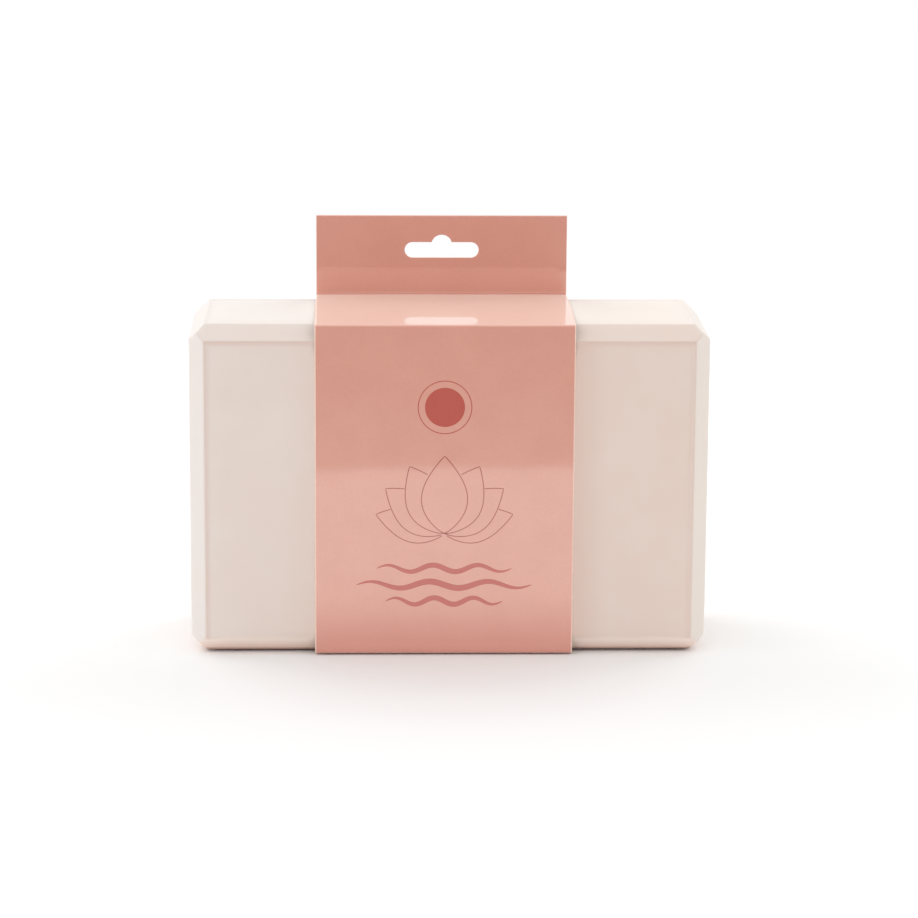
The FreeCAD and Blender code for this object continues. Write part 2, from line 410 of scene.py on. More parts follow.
@dataclass(frozen=True)
class LaminateFinish:
    """Printed board, slightly wavy, under a clear glossy film that fine scuffs turn hazy at a low angle.

    Painted shade deepens the print's tone towards the foot, with a painted contact shadow at the ground, and
    on upright panels a little towards the top and above the tab's crease.
    """

    name: str
    pale: Colour
    deep: Colour
    shade_power: float = 1.7
    ground_shade: float = 0.0
    contact_shadow_reach: float = 0.0016
    foot_shade: float = 0.0
    foot_reach: float = 0.030
    top_shade: float = 0.0
    top_start: float = 0.085
    top_end: float = 0.150
    crease_shade: float = 0.0
    crease_foot: float = 0.1512
    crease_reach: float = 0.0130
    crease_fade_in: float = 0.0006
    crease_fade_out: float = 0.0016
    upright_facing: tuple[float, float] = (0.3, 0.9)
    base_roughness: float = 0.38
    roughness_swing: float = 0.04
    film_ior: float = 2.0
    film_roughness: float = 0.06
    haze: float = 0.70
    haze_roughness: float = 0.45
    haze_tint: Colour = (1.0, 0.95, 0.84)
    wave_scale: float = 18.0
    wave_depth: float = 0.00014
    peel_scale: float = 420.0
    peel_depth: float = 0.000012
    peel_strength: float = 0.3
    cloud_scale: float = 70.0
    cloud_share: float = 0.55
    grain_scale: float = 1300.0
    grain_share: float = 0.45

    def shade(self, tree: ShaderTree, place: bpy.types.NodeSocket) -> bpy.types.NodeSocket:
        """Share of the painted shade, in the deepest tone, by height and facing.

        Args:
            tree: tree of the material.
            place: object coordinates.

        Returns:
            The socket with the share.
        """
        height = tree.parts(place)["Z"]
        upright = tree.ramp(tree.parts(tree.coordinates("Normal"))["Z"], *self.upright_facing, 1.0, 0.0)
        foot = tree.ramp(height, 0.0, self.foot_reach, self.foot_shade, 0.0)
        foot = tree.calc("ADD", foot, tree.ramp(height, 0.0, self.contact_shadow_reach, self.ground_shade, 0.0))
        top = tree.ramp(height, self.top_start, self.top_end, 0.0, self.top_shade)
        full = self.crease_foot + self.crease_fade_in
        end = self.crease_foot + self.crease_reach
        crease = tree.ramp(height, self.crease_foot, full, 0.0, self.crease_shade)
        faded = tree.ramp(height, end - self.crease_fade_out, end, 1.0, 0.0)
        above = tree.calc("MULTIPLY_ADD", crease, faded, top)
        return tree.calc("MULTIPLY_ADD", upright, above, foot)

    def make(self) -> bpy.types.Material:
        """Build the material.

        Returns:
            The laminated print.
        """
        material, tree = new_material(self.name)
        place = tree.coordinates("Object")
        clouds = tree.ramp(tree.noise(self.cloud_scale, 5.0, place), *NOISE_CORE, 0.0, self.cloud_share)
        grain = tree.ramp(tree.noise(self.grain_scale, 2.0, place), *NOISE_CORE, 0.0, self.grain_share)
        tone = tree.calc("ADD", clouds, grain)
        waves = tree.bump(1.0, self.wave_depth, tree.noise(self.wave_scale, 1.0, place))
        film = tree.bump(self.peel_strength, self.peel_depth, tree.noise(self.peel_scale, 2.0, place), waves)
        # Tone of the painted shade.
        deepest = tuple(value**self.shade_power for value in self.deep)
        rough = self.base_roughness + self.roughness_swing
        surface = tree.add(
            "ShaderNodeBsdfPrincipled",
            Base_Color=tree.mix(self.shade(tree, place), tree.mix(tone, self.deep, self.pale), deepest),
            Roughness=tree.ramp(tone, 0.0, 1.0, self.base_roughness, rough),
            Normal=film,
            Coat_Weight=1.0,
            Coat_Roughness=self.film_roughness,
            Coat_IOR=self.film_ior,
            Coat_Normal=film,
            Sheen_Weight=self.haze,
            Sheen_Roughness=self.haze_roughness,
            Sheen_Tint=(*self.haze_tint, 1.0),
        )
        tree.add("ShaderNodeOutputMaterial", Surface=surface.outputs["BSDF"])
        return material


@dataclass(frozen=True)
class FibreFinish:
    """Bare paper fibre: the raw side of the board, or its cut edge."""

    name: str
    pale: Colour
    deep: Colour
    fibre_scale: float = 1700.0
    fibre_draw: tuple[float, float, float] = (0.25, 1.0, 1.0)
    nap_depth: float = 0.000016
    nap_strength: float = 0.4
    roughness: float = 0.85

    def make(self) -> bpy.types.Material:
        """Build the material.

        Returns:
            The bare board.
        """
        material, tree = new_material(self.name)
        place = tree.coordinates("Object")
        drawn = tree.add("ShaderNodeMapping", Vector=place, Scale=self.fibre_draw).outputs["Vector"]
        fibres = tree.ramp(tree.noise(self.fibre_scale, 6.0, drawn), *NOISE_CORE, 0.0, 1.0)
        surface = tree.add(
            "ShaderNodeBsdfPrincipled",
            Base_Color=tree.mix(fibres, self.deep, self.pale),
            Roughness=self.roughness,
            Normal=tree.bump(self.nap_strength, self.nap_depth, fibres),
        )
        tree.add("ShaderNodeOutputMaterial", Surface=surface.outputs["BSDF"])
        return material


@dataclass(frozen=True)
class GlueFinish:
    """Dried adhesive film, milky and satin."""

    pale: Colour = (0.86, 0.82, 0.70)
    deep: Colour = (0.78, 0.72, 0.58)
    streak_scale: float = 240.0
    wet_roughness: float = 0.30
    dry_roughness: float = 0.45

    def make(self) -> bpy.types.Material:
        """Build the material.

        Returns:
            The adhesive.
        """
        material, tree = new_material("dried_adhesive")
        streaks = tree.noise(self.streak_scale, 3.0, tree.coordinates("Object"))
        surface = tree.add(
            "ShaderNodeBsdfPrincipled",
            Base_Color=tree.mix(streaks, self.deep, self.pale),
            Roughness=tree.ramp(streaks, *NOISE_CORE, self.wet_roughness, self.dry_roughness),
        )
        tree.add("ShaderNodeOutputMaterial", Surface=surface.outputs["BSDF"])
        return material


@dataclass(frozen=True)
class FloorFinish:
    """Matte white floor that fades into the white background far from the object."""

    colour: Colour = (0.90, 0.90, 0.90)
    fade_start: float = 0.55
    fade_end: float = 1.1

    def make(self) -> bpy.types.Material:
        """Build the material.

        Returns:
            The floor's white.
        """
        material, tree = new_material("white_floor")
        reach = tree.add("ShaderNodeVectorMath", {"operation": "LENGTH"})
        tree.feed(reach.inputs[0], tree.coordinates("Object"))
        far = tree.ramp(reach.outputs["Value"], self.fade_start, self.fade_end, 0.0, 1.0)
        white = tree.add("ShaderNodeEmission", Color=(1.0, 1.0, 1.0, 1.0), Strength=1.0)
        matte = tree.add("ShaderNodeBsdfDiffuse", Color=(*self.colour, 1.0))
        surface = tree.add("ShaderNodeMixShader", Fac=tree.calc("MULTIPLY", far, tree.seen()))
        tree.feed(surface.inputs[1], matte.outputs["BSDF"])
        tree.feed(surface.inputs[2], white.outputs["Emission"])
        tree.add("ShaderNodeOutputMaterial", Surface=surface.outputs["Shader"])
        return material


@dataclass(frozen=True)
class WallFinish:
    """Dull grey paint of the dim end of the room."""

    colour: Colour = (0.17, 0.17, 0.17)

    def make(self) -> bpy.types.Material:
        """Build the material.

        Returns:
            The wall's grey.
        """
        material, tree = new_material("grey_wall")
        matte = tree.add("ShaderNodeBsdfDiffuse", Color=(*self.colour, 1.0))
        tree.add("ShaderNodeOutputMaterial", Surface=matte.outputs["BSDF"])
        return material


def new_object(
    name: str,
    vertices: Sequence[Sequence[float]],
    faces: Sequence[Sequence[int]],
    materials: Sequence[bpy.types.Material],
    marks: Optional[Sequence[int]] = None,
    sharp_angle: float = 180.0,
) -> bpy.types.Object:
    """Make one mesh object with outward normals.

    Args:
        name: name of the piece.
        vertices: points.
        faces: vertex numbers of each face.
        materials: materials of the object's slots.
        marks: material slot of each face, or None for the first.
        sharp_angle: edges that turn by more degrees stay crisp, as do borders between materials.

    Returns:
        The object, linked to the scene.
    """
    mesh = bpy.data.meshes.new(name)
    mesh.from_pydata([tuple(v) for v in vertices], [], [tuple(f) for f in faces])
    for material in materials:
        mesh.materials.append(material)
    if marks is not None:
        mesh.polygons.foreach_set("material_index", list(marks))
    work = bmesh.new()
    work.from_mesh(mesh)
    bmesh.ops.recalc_face_normals(work, faces=work.faces)
    for face in work.faces:
        face.smooth = True
    for edge in work.edges:
        same = len({face.material_index for face in edge.link_faces}) == 1
        edge.smooth = same and edge.calc_face_angle(0.0) < math.radians(sharp_angle)
    work.to_mesh(mesh)
    work.free()
    item = bpy.data.objects.new(name, mesh)
    bpy.context.scene.collection.objects.link(item)
    return item


@dataclass
class FoamBlock:
    """The foam block, chamfered and softened, with a faint groove inside the rims of its faces.

    The upright faces blend most softly into the lower chamfers, with no groove above these. The sleeve holds
    the two large faces, which bulge a little beside it, and the foam swells up under its top panel.
    """

    low: Vector
    high: Vector
    sleeve_left: float
    sleeve_right: float
    chamfer: float = BLOCK_CHAMFER
    edge_tightness: float = 5200.0
    foot_tightness: float = 1400.0
    foot_height: float = 0.010
    sole_height: float = 0.0045
    end_share: float = 0.40
    soften_rounds: int = 6
    groove: float = 0.00055
    groove_reach: float = 0.0018
    swell: float = 0.00105
    swell_reach: float = 0.0038
    bulge: float = 0.00034
    bulge_reach: float = 0.006
    bulge_tuck: float = 0.0008
    unevenness: float = 0.00016
    uneven_rates: tuple[float, float] = (61.0, 47.0)
    uneven_margin: float = 0.02
    coarse_step: float = 0.0050
    fine_step: float = 0.00034
    sleeve_step_share: float = 2.2
    step_growth: float = 0.24
    weld_digits: int = 7

    def __post_init__(self) -> None:
        """Work out the middle and the half sizes."""
        self.middle = np.array((self.low + self.high) / 2)
        self.half = np.array((self.high - self.low) / 2)
        self.face_half = self.half - self.chamfer

    def lines(self, axis: int) -> np.ndarray:
        """Grid lines across the block, close together where its shape turns.

        Args:
            axis: 0, 1 or 2 for X, Y or Z.

        Returns:
            Places from the middle line of one chamfer to that of the opposite one.
        """
        end = self.half[axis] - self.chamfer / 2
        spots = [(side * self.face_half[axis], self.fine_step) for side in (-1.0, 1.0)]
        if axis == 0:
            beside = self.sleeve_step_share * self.fine_step
            spots += [(edge, beside) for edge in (self.sleeve_left, self.sleeve_right)]
        places = [-end]
        while places[-1] < end:
            steps = [fine + self.step_growth * abs(places[-1] - spot) for spot, fine in spots]
            places.append(places[-1] + min(self.coarse_step, *steps))
        spread = np.array(places)
        return -end + (spread + end) * (2 * end / (spread[-1] + end))

    def sharp_grid(self) -> tuple[np.ndarray, np.ndarray]:
        """Six fields of squares, each a face with half of the chamfers round it.

        Returns:
            Points about the block's middle, and the corners of each square.
        """
        points: list[np.ndarray] = []
        squares: list[np.ndarray] = []
        count = 0
        for axis in range(3):
            across, along = (axis + 1) % 3, (axis + 2) % 3
            first, second = np.meshgrid(self.lines(across), self.lines(along), indexing="ij")
            past_first = np.abs(first) - self.face_half[across]
            past_second = np.abs(second) - self.face_half[along]
            rise = self.half[axis] - np.maximum(np.maximum(past_first, past_second), 0.0)
            numbers = np.arange(first.size).reshape(first.shape)
            square = np.stack((numbers[:-1, :-1], numbers[1:, :-1], numbers[1:, 1:], numbers[:-1, 1:]), -1)
            for side in (-1.0, 1.0):
                patch = np.empty((first.size, 3))
                patch[:, across], patch[:, along] = first.ravel(), second.ravel()
                patch[:, axis] = side * rise.ravel()
                points.append(patch)
                squares.append(square.reshape(-1, 4) + count)
                count += first.size
        stacked = np.concatenate(points)
        rounded = np.round(stacked, self.weld_digits)
        _, first_of, number_of = np.unique(rounded, axis=0, return_index=True, return_inverse=True)
        return stacked[first_of], number_of.ravel()[np.concatenate(squares)]

    def squeeze(self, x: np.ndarray, reach: float) -> np.ndarray:
        """Share of the sleeve's press at a place along the block.

        Args:
            x: places along the block.
            reach: distance from the sleeve at which the press has faded.

        Returns:
            1 under the sleeve, falling smoothly to 0.
        """
        away = np.maximum(np.maximum(self.sleeve_left - x, x - self.sleeve_right), 0.0)
        return np.exp(-((away / reach) ** 2))

    def planes(self) -> tuple[np.ndarray, np.ndarray]:
        """List the planes of the block, first its six faces and then its twelve chamfers.

        Returns:
            Their normals, and their distances from the block's middle.
        """
        normals, offsets = [], []
        for axis in range(3):
            for side in (-1.0, 1.0):
                normals.append(side * np.eye(3)[axis])
                offsets.append(self.half[axis])
        for axis in range(3):
            other = (axis + 1) % 3
            for side in (-1.0, 1.0):
                for turn in (-1.0, 1.0):
                    normals.append((side * np.eye(3)[axis] + turn * np.eye(3)[other]) / math.sqrt(2))
                    offsets.append((self.half[axis] + self.half[other] - self.chamfer) / math.sqrt(2))
        return np.array(normals), np.array(offsets)

    def tightness(self, points: np.ndarray) -> np.ndarray:
        """How tightly the lines between the planes turn: softly just above the sole, less so at the ends.

        Args:
            points: points on the sharp block.

        Returns:
            One value for each point, in a column.
        """
        height = points[:, 2:] + self.half[2]
        inset = self.half[0] - np.abs(points[:, :1])
        raised = (height - self.foot_height) / self.foot_height
        grounded = 1.0 - height / self.sole_height
        ended = np.minimum(2.0 - inset / self.chamfer, self.end_share)
        crisp = np.clip(np.maximum(np.maximum(raised, grounded), ended), 0.0, 1.0)
        return self.foot_tightness + crisp * (self.edge_tightness - self.foot_tightness)

    def soften(self, points: np.ndarray) -> tuple[np.ndarray, np.ndarray]:
        """Round the lines between the planes.

        Args:
            points: points on the sharp block.

        Returns:
            The points on the rounded block, and the share of the six main faces at each.
        """
        normal, offset = self.planes()
        tightness = self.tightness(points)
        moved = points.copy()
        for _ in range(self.soften_rounds):
            beyond = moved @ normal.T - offset
            top = beyond.max(axis=1, keepdims=True)
            weights = np.exp(tightness * (beyond - top))
            total = weights.sum(axis=1, keepdims=True)
            level = (top + np.log(total) / tightness)[:, 0]
            shares = weights / total
            slope = shares @ normal
            moved -= (level / (slope**2).sum(axis=1))[:, None] * slope
        return moved, shares[:, :6]

    def settle(self, points: np.ndarray, shares: np.ndarray) -> np.ndarray:
        """Groove the faces inside their rims, make them a little uneven, and shape them round the sleeve.

        Args:
            points: points on the rounded block.
            shares: share of the six main faces at each point.

        Returns:
            The points on the finished block.
        """
        settled = points.copy()
        inside = self.face_half - np.abs(points)
        inside[:, 2] = np.where(points[:, 2] < 0.0, self.half[2], inside[:, 2])
        x = points[:, 0]
        held = (x > self.sleeve_left + self.bulge_tuck) & (x < self.sleeve_right - self.bulge_tuck)
        bulge = np.where(held, 0.0, self.bulge * self.squeeze(x, self.bulge_reach))
        first_rate, second_rate = self.uneven_rates
        for axis in range(3):
            across, along = (axis + 1) % 3, (axis + 2) % 3
            room = np.maximum(np.minimum(inside[:, across], inside[:, along]), 0.0)
            sunk = self.groove * (room / self.groove_reach) * np.exp(1.0 - room / self.groove_reach)
            waves = np.sin(points[:, across] * first_rate + axis)
            waves *= np.sin(points[:, along] * second_rate + 2.0 * axis)
            sunk += self.unevenness * (1.0 + waves) / 2 * np.minimum(room / self.uneven_margin, 1.0)
            if axis == 1:
                sunk -= bulge * np.minimum(room / self.bulge_reach, 1.0)
            for number, side in enumerate((-1.0, 1.0)):
                settled[:, axis] -= side * shares[:, 2 * axis + number] * sunk
        arch = np.maximum(1.0 - (points[:, 1] / self.face_half[1]) ** 2, 0.0)
        lift = self.swell * arch * self.squeeze(x, self.swell_reach)
        settled[:, 2] += shares[:, 5] * lift
        return settled

    def build(self, finish: bpy.types.Material) -> bpy.types.Object:
        """Make the block and put it in place of its CAD solid.

        Args:
            finish: foam material.

        Returns:
            The block.
        """
        points, squares = self.sharp_grid()
        points, shares = self.soften(points)
        points = self.settle(points, shares) + self.middle
        block = new_object("block_foam", points, squares, [finish])
        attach(block, Body.BLOCK.value)
        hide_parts("foam_block")
        return block


@dataclass(frozen=True)
class Ring:
    """One stop along a card strip: where its printed and its raw side run, and how far its ends draw in."""

    printed: Point
    raw: Point
    draw_in: float = 0.0


def bend_rings(
    centre: Point, printed: float, raw: float, start: float, end: float, steps: int
) -> list[Ring]:
    """Stops round a fold.

    Args:
        centre: y and z of the fold's axis.
        printed: radius of the printed side.
        raw: radius of the raw side.
        start: first angle in degrees, from +Y towards +Z.
        end: last angle in degrees.
        steps: stretches between the stops.

    Returns:
        The stops, both ends included.
    """
    rings = []
    for angle in np.radians(np.linspace(start, end, steps + 1)):
        way = np.array((math.cos(angle), math.sin(angle)))
        rings.append(Ring(tuple(np.array(centre) + printed * way), tuple(np.array(centre) + raw * way)))
    return rings


def level_rings(printed: Sequence[Point], raw: Sequence[Point]) -> list[Ring]:
    """Stops along a flat or bowed stretch, one for each pair of points."""
    return [Ring(tuple(outer), tuple(inner)) for outer, inner in zip(printed, raw)]


@dataclass
class CardStock:
    """The board of the sleeve: its cut edges, and the materials of its sides."""

    left: float
    right: float
    printed: bpy.types.Material
    raw: bpy.types.Material
    cut: bpy.types.Material
    edge_wear: float = 0.00050
    edge_drop: float = 0.00026
    crisp: float = 0.0004

    def strip(
        self,
        name: str,
        rings: Sequence[Ring],
        divisions: int = 1,
        depth: Optional[Depth] = None,
        hole: Optional[tuple[int, Sequence[Point]]] = None,
    ) -> bpy.types.Object:
        """Make a closed strip of board whose printed side is worn pale along its cut edges.

        Args:
            name: name of the piece.
            rings: stops along the strip.
            divisions: stretches across the strip.
            depth: how far both sides give way towards +Y at an x and z, or None for none.
            hole: number of the stretch that has a hole, and the hole's outline in x and z, or None for none.

        Returns:
            The piece.
        """
        vertices: list[Sequence[float]] = []
        faces: list[Sequence[int]] = []
        marks: list[int] = []

        def put(x: float, place: Point) -> int:
            """Add a point.

            Args:
                x: place across the strip.
                place: y and z.

            Returns:
                Number of the point.
            """
            give = depth(x, place[1]) if depth else 0.0
            vertices.append((x, place[0] + give, place[1]))
            return len(vertices) - 1

        def cover(corners: Sequence[int], side: CardFace) -> None:
            """Add a face on one side."""
            faces.append(tuple(corners))
            marks.append(int(side))

        loops: list[list[int]] = []
        for ring in rings:
            left, right = self.left + ring.draw_in, self.right - ring.draw_in
            share = self.edge_drop / math.dist(ring.printed, ring.raw)
            worn = tuple(np.array(ring.printed) * (1.0 - share) + np.array(ring.raw) * share)
            outer = np.linspace(left + self.edge_wear, right - self.edge_wear, divisions + 1)
            inner = np.linspace(right, left, divisions + 1)
            loop = [put(x, ring.printed) for x in outer] + [put(right, worn)]
            loops.append(loop + [put(x, ring.raw) for x in inner] + [put(left, worn)])
        size = len(loops[0])
        sides = [CardFace.PRINTED] * divisions + [CardFace.CUT] * 2
        sides += [CardFace.RAW] * divisions + [CardFace.CUT] * 2
        for number, (first, second) in enumerate(zip(loops, loops[1:])):
            for place in range(size):
                after = (place + 1) % size
                if hole and number == hole[0] and sides[place] is not CardFace.CUT:
                    continue
                cover((first[place], first[after], second[after], second[place]), sides[place])
        for loop in (loops[0], loops[-1]):
            for place in range(divisions):
                opposite = 2 * divisions + 2 - place
                cover((loop[place], loop[place + 1], loop[opposite - 1], loop[opposite]), CardFace.CUT)
            cover((loop[divisions], loop[divisions + 1], loop[divisions + 2]), CardFace.CUT)
            cover((loop[0], loop[2 * divisions + 2], loop[2 * divisions + 3]), CardFace.CUT)
        if hole:
            self.punch(hole, rings, loops, vertices, cover)
        materials = [self.printed, self.raw, self.cut]
        return new_object(name, vertices, faces, materials, marks, sharp_angle=CRISP_ANGLE)

    def punch(
        self,
        hole: tuple[int, Sequence[Point]],
        rings: Sequence[Ring],
        loops: Sequence[Sequence[int]],
        vertices: list[Sequence[float]],
        cover: Callable[[Sequence[int], CardFace], None],
    ) -> None:
        """Close the two sides of an upright stretch round a hole, and line the hole with cut board.

        Args:
            hole: number of the stretch, and the hole's outline in x and z.
            rings: stops along the strip.
            loops: vertex numbers at each stop.
            vertices: points of the strip, which grow.
            cover: adds a face on one side.
        """
        number, outline = hole
        front, back = rings[number].printed[0], rings[number].raw[0]
        worn = front + math.copysign(self.edge_drop, back - front)
        wide = grown_outline(outline, self.edge_wear / 2)
        rows = []
        for shape, y in ((wide, front), (outline, worn), (outline, back)):
            rows.append([len(vertices) + step for step in range(len(shape))])
            vertices.extend((x, y, z) for x, z in shape)
        for near, far in zip(rows, rows[1:]):
            for step in range(len(outline)):
                after = (step + 1) % len(outline)
                cover((near[step], near[after], far[after], far[step]), CardFace.CUT)
        low, high = loops[number], loops[number + 1]
        for side, corners, row in (
            (CardFace.PRINTED, (low[0], low[1], high[1], high[0]), rows[0]),
            (CardFace.RAW, (low[3], low[4], high[4], high[3]), rows[2]),
        ):
            numbers = [*corners, *row]
            flat = [Vector((vertices[n][0], vertices[n][2], 0.0)) for n in numbers]
            for triangle in tessellate_polygon([flat[: len(corners)], flat[len(corners) :]]):
                cover([numbers[n] for n in triangle], side)


def grown_outline(outline: Sequence[Point], distance: float) -> list[Point]:
    """Move a closed outline, drawn turning left, outwards.

    Args:
        outline: points of the outline.
        distance: how far to move it.

    Returns:
        The moved points.
    """
    points = np.array(outline)
    before, after = np.roll(points, 1, axis=0), np.roll(points, -1, axis=0)
    way = after - before
    way /= np.linalg.norm(way, axis=1)[:, None]
    return [tuple(p) for p in points + distance * np.stack((way[:, 1], -way[:, 0]), -1)]


@dataclass
class CardSleeve:
    """The folded strip of board round the block, panel by panel."""

    stock: CardStock
    fold_steps: int = 10
    front_rows: int = 26
    front_columns: int = 20
    top_rows: int = 18
    flap_corner: float = 0.004
    slack: float = 0.00007
    slack_swing: float = 0.00005
    slack_rate: float = 31.0
    slack_phases: tuple[float, float] = (0.6, 0.4)
    lower_radius: float = 0.0022
    lower_lift: float = 0.0005
    lift_reach: float = 0.006
    lift_rows: int = 8

    def __post_init__(self) -> None:
        """Read the board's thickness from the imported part."""
        low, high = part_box("bottom_panel")
        self.board = high.z - low.z

    def front_depth(self, x: float, z: float) -> float:
        """How far the front panel gives way at a place: nothing at its folds, a little in between.

        Args:
            x: place across the panel.
            z: height.

        Returns:
            Distance towards +Y.
        """
        low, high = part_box("front_panel")
        share = min(max((z - low.z) / (high.z - low.z), 0.0), 1.0)
        hold = math.sin(math.pi * share) ** 0.5 if 0.0 < share < 1.0 else 0.0
        across, upwards = self.slack_phases
        wave = math.sin(self.slack_rate * x + across) * math.sin(2.0 * math.pi * share + upwards)
        return hold * (self.slack + self.slack_swing * wave)

    def front(self) -> bpy.types.Object:
        """Fold the front panel over at both ends, more roundly and just off the ground at the lower one.

        Returns:
            The panel.
        """
        low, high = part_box("front_panel")
        radius, wide = high.y - low.y, self.lower_radius
        turn = low.z + self.lower_lift + wide
        above, below = (high.y, high.z - radius), (low.y + wide, turn)
        upper = bend_rings(above, radius, radius - self.board, 90.0, 180.0, self.fold_steps)
        lower = bend_rings(below, wide, wide - self.board, 180.0, 270.0, self.fold_steps)
        rows = np.linspace(above[1] - self.stock.crisp, turn + self.stock.crisp, self.front_rows + 1)
        flat = level_rings([(low.y, z) for z in rows], [(low.y + self.board, z) for z in rows])
        rings = [*upper, *flat, *lower]
        return self.stock.strip("sleeve_front", rings, self.front_columns, self.front_depth)

    def top(self) -> bpy.types.Object:
        """Bow the top panel up over the foam.

        Returns:
            The panel.
        """
        low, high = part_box("top_panel")
        rise = high.z - low.z - self.board
        span, middle = (high.y - low.y) / 2, (high.y + low.y) / 2
        radius = (span**2 + rise**2) / (2 * rise)
        rows = np.linspace(low.y, high.y, self.top_rows + 1)
        bow = [low.z + math.sqrt(radius**2 - (y - middle) ** 2) - (radius - rise) for y in rows]
        printed = [(y, z + self.board) for y, z in zip(rows, bow)]
        return self.stock.strip("sleeve_top", level_rings(printed, list(zip(rows, bow))))

    def bottom(self) -> bpy.types.Object:
        """Lay the bottom panel from the lower fold, where it comes down to the ground, to the seam flap.

        Returns:
            The panel.
        """
        low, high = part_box("bottom_panel")
        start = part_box("front_panel")[0].y + self.lower_radius
        printed = []
        for share in np.linspace(0.0, 1.0, self.lift_rows + 1):
            lift = self.lower_lift * (1.0 + math.cos(math.pi * share)) / 2
            printed.append((start + share * self.lift_reach, low.z + lift))
        printed.append((high.y, low.z))
        raw = [(y, z + self.board) for y, z in printed]
        return self.stock.strip("sleeve_bottom", level_rings(printed, raw))

    def back(self) -> bpy.types.Object:
        """Hang the back panel over the seam flap.

        Returns:
            The panel.
        """
        low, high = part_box("back_panel")
        ends = (high.z, low.z)
        rings = level_rings([(high.y, z) for z in ends], [(low.y, z) for z in ends])
        return self.stock.strip("sleeve_back", rings)

    def flap(self) -> bpy.types.Object:
        """Fold the seam flap, which has slanted free corners, up from the bottom panel.

        Returns:
            The flap.
        """
        low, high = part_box("seam_flap")
        radius = high.y - low.y
        fold = (low.y, low.z + radius)
        rings = bend_rings(fold, radius, radius - self.board, 270.0, 360.0, self.fold_steps)
        corner = self.flap_corner
        for z, draw_in in ((fold[1] + self.stock.crisp, 0.0), (high.z - corner, 0.0), (high.z, corner)):
            rings.append(Ring((high.y, z), (high.y - self.board, z), draw_in))
        return self.stock.strip("sleeve_seam_flap", rings)

    def build(self) -> list[bpy.types.Object]:
        """Make the panels and put them in place of their CAD solids.

        Returns:
            The panels.
        """
        pieces = {
            "front_panel": self.front(),
            "top_panel": self.top(),
            "bottom_panel": self.bottom(),
            "back_panel": self.back(),
            "seam_flap": self.flap(),
        }
        for node, piece in pieces.items():
            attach(piece, Body.SLEEVE.value)
            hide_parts(node)
        return list(pieces.values())


@dataclass
class HangTab:
    """The two-ply hang tab with its slot, and the creased strips that it bends on."""

    stock: CardStock
    slot_length: float = 0.0338
    slot_height: float = 0.0071
    seat_radius: float = 0.00475
    seat_rise: float = 0.0034
    slot_drop: float = 0.0159
    slot_steps: int = 18
    fold_steps: int = 10
    bead_height: float = 0.00012
    bead_rows: int = 14
    crease_turn: float = 0.0005

    def __post_init__(self) -> None:
        """Read the board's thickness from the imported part."""
        low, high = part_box("bottom_panel")
        self.board = high.z - low.z

    def slot_outline(self) -> list[Point]:
        """Outline of the hang slot: a bar with round ends and a round peg seat in its upper edge.

        Returns:
            Points in x and z, turning left.
        """
        middle = (self.stock.left + self.stock.right) / 2
        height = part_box("tab_rear_ply")[1].z - self.slot_drop
        end = self.slot_height / 2
        reach = self.slot_length / 2 - end
        seat = height + end + self.seat_rise - self.seat_radius
        lift = math.degrees(math.asin((height + end - seat) / self.seat_radius))
        arcs = (
            (reach, height, end, -90.0, 90.0),
            (0.0, seat, self.seat_radius, lift, 180.0 - lift),
            (-reach, height, end, 90.0, 270.0),
        )
        outline = []
        for x, z, radius, start, stop in arcs:
            for angle in np.radians(np.linspace(start, stop, self.slot_steps + 1)):
                outline.append((middle + x + radius * math.cos(angle), z + radius * math.sin(angle)))
        return outline

    def front_ply(self) -> bpy.types.Object:
        """Cut the front ply of the tab.

        Returns:
            The ply.
        """
        low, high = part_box("tab_front_ply")
        ends = (low.z, high.z)
        rings = level_rings([(low.y, z) for z in ends], [(high.y, z) for z in ends])
        return self.stock.strip("tab_front", rings, hole=(0, self.slot_outline()))

    def rear_ply(self) -> bpy.types.Object:
        """Fold the rear ply of the tab over at the top to meet the front ply.

        Returns:
            The ply.
        """
        low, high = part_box("tab_rear_ply")
        radius = (high.y - low.y) / 2
        fold = (low.y + radius, high.z - radius)
        ends = (low.z, fold[1] - self.stock.crisp)
        rings = level_rings([(high.y, z) for z in ends], [(high.y - self.board, z) for z in ends])
        rings += bend_rings(fold, radius, radius - self.board, 0.0, 180.0, self.fold_steps)
        return self.stock.strip("tab_rear", rings, hole=(0, self.slot_outline()))

    def front_crease(self) -> bpy.types.Object:
        """Crease the board between top panel and front ply, with the bead that the creasing rule left.

        Returns:
            The creased strip.
        """
        low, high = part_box("tab_front_crease")
        turn = (low.y, low.z + self.board + self.crease_turn)
        raw = self.crease_turn + self.board
        rings = bend_rings(turn, self.crease_turn, raw, 270.0, 360.0, self.fold_steps)
        for share in np.linspace(0.0, 1.0, self.bead_rows + 1)[1:]:
            z = turn[1] + share * (high.z - turn[1])
            bead = self.bead_height * math.sin(math.pi * share) ** 2
            rings.append(Ring((high.y - self.board - bead, z), (high.y, z)))
        return self.stock.strip("tab_crease_front", rings)

    def rear_crease(self) -> bpy.types.Object:
        """Crease the board between the back panel and the rear ply.

        Returns:
            The creased strip.
        """
        low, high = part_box("tab_rear_crease")
        rows = np.linspace(low.z, high.z, self.bead_rows + 1)
        rings = level_rings([(high.y, z) for z in rows], [(low.y, z) for z in rows])
        return self.stock.strip("tab_crease_rear", rings)

    def build(self) -> list[bpy.types.Object]:
        """Make the tab and its creases and put them in place of their CAD solids.

        Returns:
            The pieces.
        """
        plies = {"tab_front_ply": self.front_ply(), "tab_rear_ply": self.rear_ply()}
        creases = {"tab_front_crease": self.front_crease(), "tab_rear_crease": self.rear_crease()}
        for piece in plies.values():
            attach(piece, Body.TAB.value)
        for piece in creases.values():
            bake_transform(piece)
        pieces = plies | creases
        for node, piece in pieces.items():
            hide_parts(node)
        return list(pieces.values())


